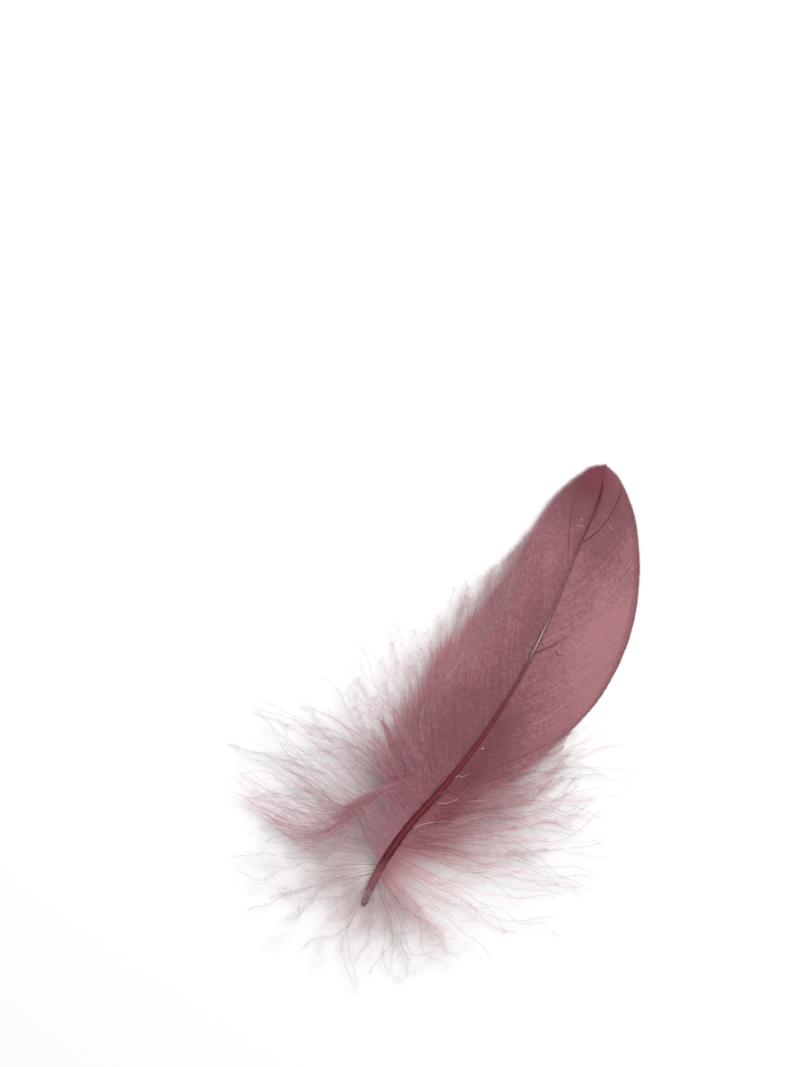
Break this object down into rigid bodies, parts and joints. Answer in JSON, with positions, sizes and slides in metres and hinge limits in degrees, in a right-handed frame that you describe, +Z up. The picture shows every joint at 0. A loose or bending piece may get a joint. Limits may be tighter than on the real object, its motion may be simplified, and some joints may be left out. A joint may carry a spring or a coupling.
{
  "type": "goose feather",
  "caption": "Dyed goose body feather: a curved tapering shaft with a closed vane on one side, a softer split vane on the other and a fan of loose down round the quill, lying hollow side down.",
  "frame": {"origin": "on the surface the feather lies on, under the middle of its bounding box", "axes": "+Y from the quill's end to the tip of the vane, +Z up from the surface, +X to the side that the shaft bows towards"},
  "size_m": [0.065, 0.097, 0.0077],
  "materials": {
    "vane": "matte",
    "shaft": "satin",
    "down": "matte"
  },
  "bodies": {
    "root": {"feather": "vane"}
  },
  "joints": []
}
